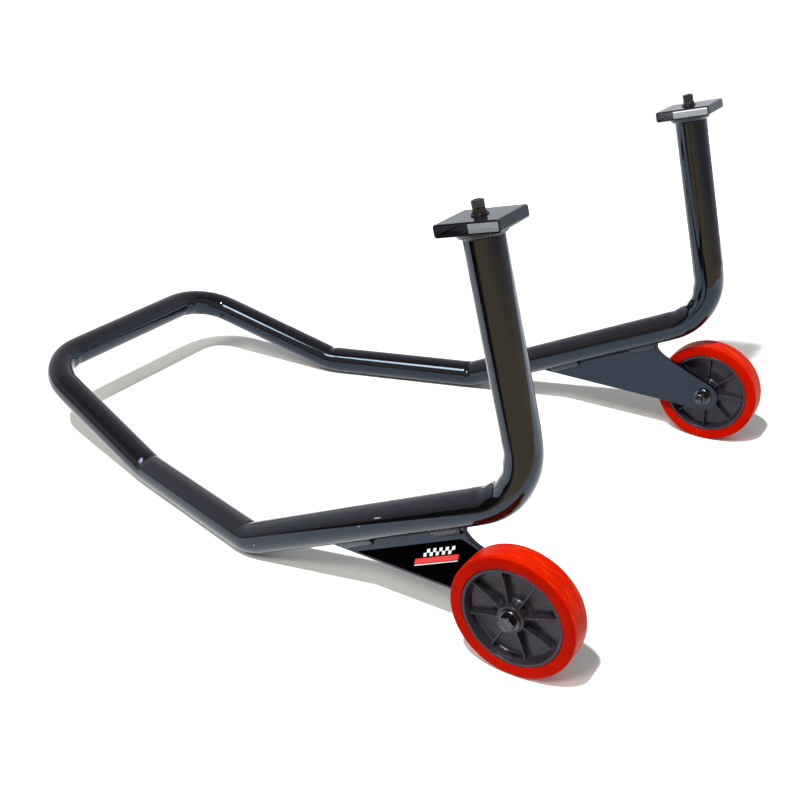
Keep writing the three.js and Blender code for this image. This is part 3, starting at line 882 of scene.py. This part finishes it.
def adapter_sleeve(hand, side, material):
    """A short flat tube, open at both ends, drilled through its top for the clamp screw."""
    outer = rounded_rectangle(SLEEVE_WIDTH, SLEEVE_HEIGHT, SLEEVE_CORNER)
    walls = 2 * SLEEVE_WALL
    inner_corner = SLEEVE_CORNER - SLEEVE_WALL + 0.0002
    inner = rounded_rectangle(SLEEVE_WIDTH - walls, SLEEVE_HEIGHT - walls, inner_corner)
    count = len(outer)
    vertices = []
    for y in (-SLEEVE_LENGTH / 2, SLEEVE_LENGTH / 2):
        for loop in (outer, inner):
            vertices += [Vector((x, y, z + SLEEVE_HEIGHT / 2)) for x, z in loop]
    faces = []
    for i in range(count):
        k = (i + 1) % count
        near_out, near_in, far_out, far_in = 0, count, 2 * count, 3 * count
        faces.append((near_out + i, near_out + k, far_out + k, far_out + i))
        faces.append((near_in + i, far_in + i, far_in + k, near_in + k))
        faces.append((near_out + i, near_in + i, near_in + k, near_out + k))
        faces.append((far_out + i, far_out + k, far_in + k, far_in + i))
    sleeve = mesh_object(f"{hand}_adapter_socket_fine", vertices, faces)
    tidy_normals(sleeve)
    bored(sleeve, CLAMP_BORE_R, SLEEVE_HEIGHT / 2, 2 * SLEEVE_HEIGHT)
    moved(sleeve, head_place(side))
    soften(smooth(sleeve), 0.0003)
    return finished(sleeve, material, "frame_paint", "frame", f"{hand}_adapter_socket")


def ring_weld(name, inner, base, up, ripples, seed, width, height, depth):
    """A rippled bead round a tube; `up` is 1 if the bead sits above z = base and -1 if below."""
    segments, columns = 288, 14
    vertices, faces = [], []
    for i in range(segments):
        angle = 2 * math.pi * i / segments
        spot = Vector((math.cos(angle) * 3, math.sin(angle) * 3, seed))
        grow = 1 + 0.10 * noise.noise(spot)
        for j in range(columns + 1):
            t = j / columns
            lag = 0.25 * math.sin(math.pi * t)
            ripple = depth * (1 - abs(math.sin(ripples * angle / 2 + lag * 4)))
            arch = math.sin(math.pi * t)
            r = inner + width * grow * (1 - t) + arch * (0.10 * width + ripple)
            z = base + up * (height * grow * t + arch * (0.10 * height + ripple))
            vertices.append(Vector((r * math.cos(angle), r * math.sin(angle), z)))
        vertices.append(Vector((inner * math.cos(angle), inner * math.sin(angle), base)))
    ring = columns + 2
    for i in range(segments):
        here, there = i * ring, (i + 1) % segments * ring
        for j in range(ring):
            k = (j + 1) % ring
            faces.append((here + j, there + j, there + k, here + k))
    bead = mesh_object(name, vertices, faces)
    tidy_normals(bead)
    return bead


def clamp_screw(hand, side, z, material):
    """Cap screw with a knurled head and a hexagon recess, z = 0 at the underside of its head."""
    radius, top = SCREW_HEAD_R, SCREW_HEAD_HEIGHT
    flutes, groove_depth = 36, 0.00022
    segments = flutes * 6
    vertices, faces = [], []
    rings = [
        (0, radius - 0.0006), (0.0003, radius), (top - 0.0011, radius), (top - 0.0003, radius - 0.0003),
        (top, radius - 0.0009),
    ]
    for height, reach in rings:
        for i in range(segments):
            angle = 2 * math.pi * i / segments
            r = reach
            if reach == radius:
                r -= groove_depth * max(0, math.cos(flutes * angle))
            vertices.append(Vector((r * math.cos(angle), r * math.sin(angle), height)))
    for level in range(len(rings) - 1):
        for i in range(segments):
            k = (i + 1) % segments
            a, b = level * segments, (level + 1) * segments
            faces.append((a + i, a + k, b + k, b + i))
    faces.append(tuple(reversed(range(segments))))
    faces.append(tuple(range(4 * segments, 5 * segments)))
    screw = mesh_object(f"{hand}_clamp_screw_fine", vertices, faces)
    tidy_normals(screw)
    recess = prism("recess", hexagon(SCREW_RECESS_FLATS), top - SCREW_RECESS_DEPTH, top + 0.002)
    combine(screw, recess, "DIFFERENCE")
    shank = threaded_end("shank", SCREW_R, -SCREW_LENGTH, 0.0002, SCREW_PITCH)
    join(screw, [shank])
    moved(screw, head_place(side) @ Matrix.Translation((0, 0, z)))
    smooth(screw, 32)
    return finished(screw, material, "zinc", f"{hand}_screw", f"{hand}_clamp_screw")


def upright_head(hand, side, black, zinc):
    """Sleeve, clamp nut, clamp screw and ring welds at the top of one upright."""
    place = head_place(side)

    def weld(node, *shape, **sizes):
        bead = ring_weld(f"{hand}_{node}_fine", *shape, **sizes)
        moved(bead, place)
        smooth(bead, 60)
        finished(bead, black, "frame_paint", "frame", f"{hand}_{node}")

    adapter_sleeve(hand, side, black)
    weld("socket_weld", TUBE_R + GAP, -GAP, -1, 40, side * 2.3, width=0.0042, height=0.0048, depth=0.00025)

    top = SLEEVE_HEIGHT + GAP
    nut = chamfered_hexagon(f"{hand}_clamp_nut_fine", CLAMP_FLATS, CLAMP_NUT_HEIGHT)
    bored(nut, CLAMP_BORE_R, -0.01, 0.02)
    moved(nut, place @ Matrix.Translation((0, 0, top)))
    soften(smooth(nut, 35), 0.00018)
    finished(nut, zinc, "zinc", "frame", f"{hand}_clamp_nut")

    corners = CLAMP_FLATS / math.sqrt(3)
    weld("clamp_nut_weld", corners + GAP, top, 1, 22, side * 4.1, width=0.0009, height=0.0012, depth=0.0001)
    clamp_screw(hand, side, top + CLAMP_NUT_HEIGHT + GAP, zinc)


# ---- camera, floor and light ----

# the camera looks at TARGET from DISTANCE away, AZIMUTH round from -Y toward +X
TARGET = Vector((0.0514, 0.0034, 0.0785))
DISTANCE = 1.1674
AZIMUTH = math.radians(33.4)
ELEVATION = math.radians(26.1)
ROLL = math.radians(-1.6)
LENS = 48.07

KEY_PLACE = (0.26, -1.18, 2.23)
KEY_SIZE = 0.11
KEY_STRENGTH = 14.0
# soft light that the studio sheds on matt surfaces
EVEN_LIGHT = (0.425, 0.435, 0.430)
# how bright the studio's walls are to the camera
WALL_LIGHT = 1.05
# a bright window that only reflections show, and the angles from its middle where it starts and is full
WINDOW_WAY = (-0.06, -0.66, 0.75)
WINDOW_LIGHT = (22, 22, 19)
WINDOW_EDGE = (math.radians(9), math.radians(6.5))
# colour of the studio as reflections see it, by the height of the direction, 0.5 at the horizon
FRONT_WAY = (0.45, -0.89, 0)
FRONT_STOPS = [
    (0.00, (1.60, 1.02, 0.48)),
    (0.44, (1.55, 1.00, 0.48)),
    (0.50, (0.90, 0.66, 0.46)),
    (0.51, (0.60, 0.44, 0.40)),
    (0.70, (0.90, 0.66, 0.50)),
    (0.76, (0.84, 0.62, 0.50)),
    (0.84, (0.32, 0.20, 0.19)),
    (0.96, (0.30, 0.20, 0.19)),
    (1.00, (0.55, 0.40, 0.37)),
]
BACK_STOPS = [
    (0.00, (0.80, 0.80, 0.80)),
    (0.50, (0.70, 0.76, 0.82)),
    (0.62, (0.90, 0.86, 0.88)),
    (0.72, (0.95, 0.80, 0.84)),
    (0.93, (0.80, 0.60, 0.60)),
    (1.00, (0.55, 0.40, 0.37)),
]
LOW_LEFT_COLOUR = (0.03, 0.03, 0.03)


def camera():
    data = bpy.data.cameras.new("camera")
    data.sensor_width = 36
    data.lens = LENS
    data.clip_start = 0.01
    eye = bpy.data.objects.new("camera", data)
    SCENE.collection.objects.link(eye)
    level = Vector((math.sin(AZIMUTH), -math.cos(AZIMUTH), 0))
    back = level * math.cos(ELEVATION) + Vector((0, 0, math.sin(ELEVATION)))
    eye.location = TARGET + back * DISTANCE
    right = (-back).cross(Vector((0, 0, 1))).normalized()
    up = right.cross(-back)
    x = right * math.cos(ROLL) + up * math.sin(ROLL)
    y = up * math.cos(ROLL) - right * math.sin(ROLL)
    eye.rotation_euler = Matrix((x, y, back)).transposed().to_euler()
    SCENE.camera = eye


def floor():
    """White sheet that glows far from the stand so that it stays white, and glows on a patch between its
    uprights as painted light that washes out the shadow of the right upright's head.
    """
    plane = prism("floor", [(-1.6, -1.09), (1.6, 0.07), (1.6, 1.8), (-1.6, 1.8)], -0.0002, 0)
    finish = Finish("floor", roughness=0.85, specular_ior_level=0.0, emission_color=(1, 1, 1, 1))
    finish.set("Base Color", finish.mix(finish.noise(9, detail=3), (0.80, 0.80, 0.80), (0.82, 0.82, 0.82)))
    far = finish.math("SUBTRACT", 1.0, finish.near((0, 0.1, 0), (1.15, 0.95, 1)))
    # painted light: a glowing patch of floor where the right upright's head would cast its shadow
    patch = finish.near((AXLE.x - 0.036, -0.055, 0), (0.115, 0.105, 1))
    washed = finish.math("MAXIMUM", far, patch)
    finish.set("Emission Strength", finish.math("MULTIPLY", washed, 0.75))
    plane.data.materials.append(finish.material)


def key_light():
    """A small disk, evenly bright at any distance, that throws the shadows."""
    data = bpy.data.lights.new("key", "AREA")
    data.shape = "DISK"
    data.size = KEY_SIZE
    data.energy = 1
    data.use_nodes = True
    graph = Graph(data.node_tree)
    falloff = graph.node("LightFalloff", {"Strength": KEY_STRENGTH})
    graph.link(falloff.outputs["Constant"], graph.tree.nodes["Emission"].inputs["Strength"])
    lamp = bpy.data.objects.new("key", data)
    SCENE.collection.objects.link(lamp)
    lamp.location = KEY_PLACE
    lamp.rotation_euler = (Vector((0, 0, 0.1)) - lamp.location).to_track_quat("-Z", "Y").to_euler()


def ramp(graph, stops, value):
    """Colour read from the stops by a value of 0 to 1."""
    made = graph.node("ValToRGB", {"Fac": value})
    elements = made.color_ramp.elements
    elements.remove(elements[-1])
    elements[0].position, elements[0].color = stops[0][0], (*stops[0][1], 1)
    for position, colour in stops[1:]:
        elements.new(position).color = (*colour, 1)
    return made.outputs["Color"]


def surroundings():
    """Studio with one look for reflections, an even light for matt surfaces and white for the camera."""
    world = bpy.data.worlds.new("studio")
    SCENE.world = world
    world.use_nodes = True
    world.node_tree.nodes.clear()
    graph = Graph(world.node_tree)
    way = graph.node("TexCoord").outputs["Generated"]
    x, _, z = graph.node("SeparateXYZ", {0: way}).outputs

    height = graph.span(z, -1, 1, kind="LINEAR")
    in_front = graph.span(graph.vector("DOT_PRODUCT", way, FRONT_WAY)["Value"], -0.25, 0.25)
    colour = graph.mix(in_front, ramp(graph, BACK_STOPS, height), ramp(graph, FRONT_STOPS, height))
    below = graph.span(z, 0.02, -0.01, kind="LINEAR")
    to_left = graph.span(x, -0.30, -0.55)
    colour = graph.mix(graph.math("MULTIPLY", below, to_left), colour, LOW_LEFT_COLOUR)
    to_window = graph.vector("DOT_PRODUCT", way, Vector(WINDOW_WAY).normalized())["Value"]
    window = graph.span(to_window, *(math.cos(angle) for angle in WINDOW_EDGE))
    colour = graph.mix(window, colour, WINDOW_LIGHT)

    def light(colour, strength=1.0):
        return graph.node("Background", {"Color": colour, "Strength": strength}).outputs[0]

    def choose(ray, usual, instead):
        return graph.node("MixShader", {0: rays[ray], 1: usual, 2: instead}).outputs[0]

    rays = graph.node("LightPath").outputs
    shown = choose("Is Camera Ray", light(colour), light((1, 1, 1, 1), WALL_LIGHT))
    shown = choose("Is Diffuse Ray", shown, light((*EVEN_LIGHT, 1)))
    graph.node("OutputWorld", {"Surface": shown})


# ---- build ----

def scuff_spots():
    """Small marks on the side of the right arm that faces outward: a long one and two short ones."""
    along = Vector((ARM.x, 0, ARM.y))
    start = Vector((TOE.x, -UPRIGHT_Y, TOE.z))
    marks = []
    kinds = (
        (0.180, 30, (0.0056, 0.004, 0.0006)),
        (0.158, 12, (0.0022, 0.004, 0.0005)),
        (0.019, -3, (0.0010, 0.004, 0.0009)),
    )
    for distance, angle, size in kinds:
        turn = math.radians(angle)
        across = Vector((0, -1, 0)) * math.cos(turn) - Vector((UNDER.x, 0, UNDER.y)) * math.sin(turn)
        marks.append((start + along * distance + across * TUBE_R, size, math.atan2(ARM.y, ARM.x)))
    return marks


SCENE.view_settings.view_transform = "Standard"
camera()
floor()
key_light()
surroundings()

black = paint("frame_paint")
orange = polyurethane("wheel_tread")
grey = nylon("wheel_core")
zinc = zinc_plate("zinc")
insert = film("nut_insert", (0.05, 0.055, 0.07), (0.07, 0.075, 0.09), 0.35)
films = {
    "black": film("label_black", (0.0004, 0.0004, 0.0005), (0.0009, 0.0009, 0.0011), 0.40, 0.0),
    "white": film("label_white", (0.62, 0.63, 0.64), (0.72, 0.73, 0.73)),
    "red": film("label_red", (0.50, 0.010, 0.012), (0.62, 0.016, 0.016)),
}
frame_tube(paint("frame_paint_tube", scuff_spots()))
for hand, side in HANDS:
    bracket(hand, side, black)
    label(hand, side, films)
    for place, span in WELD_SPANS.items():
        for face_name, face in (("outer", 1), ("inner", -1)):
            node = f"{hand}_bracket_weld_{place}_{face_name}"
            stitch_weld(node + "_fine", side, face, span, black, node)
    wheel_low, wheel_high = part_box(f"{hand}_tyre")
    wheel_y = abs(wheel_low.y + wheel_high.y) / 2
    tyre(hand, side, wheel_y, orange)
    wheel_core(hand, side, wheel_y, grey)
    axle_hardware(hand, side, zinc, insert)
    upright_head(hand, side, black, zinc)
    for name in ("spacer_washer", "axle_sleeve"):
        kept = frame["nodes"][f"{hand}_{name}"]
        kept.data.materials.clear()
        kept.data.materials.append(zinc)
        smooth(kept, 35)
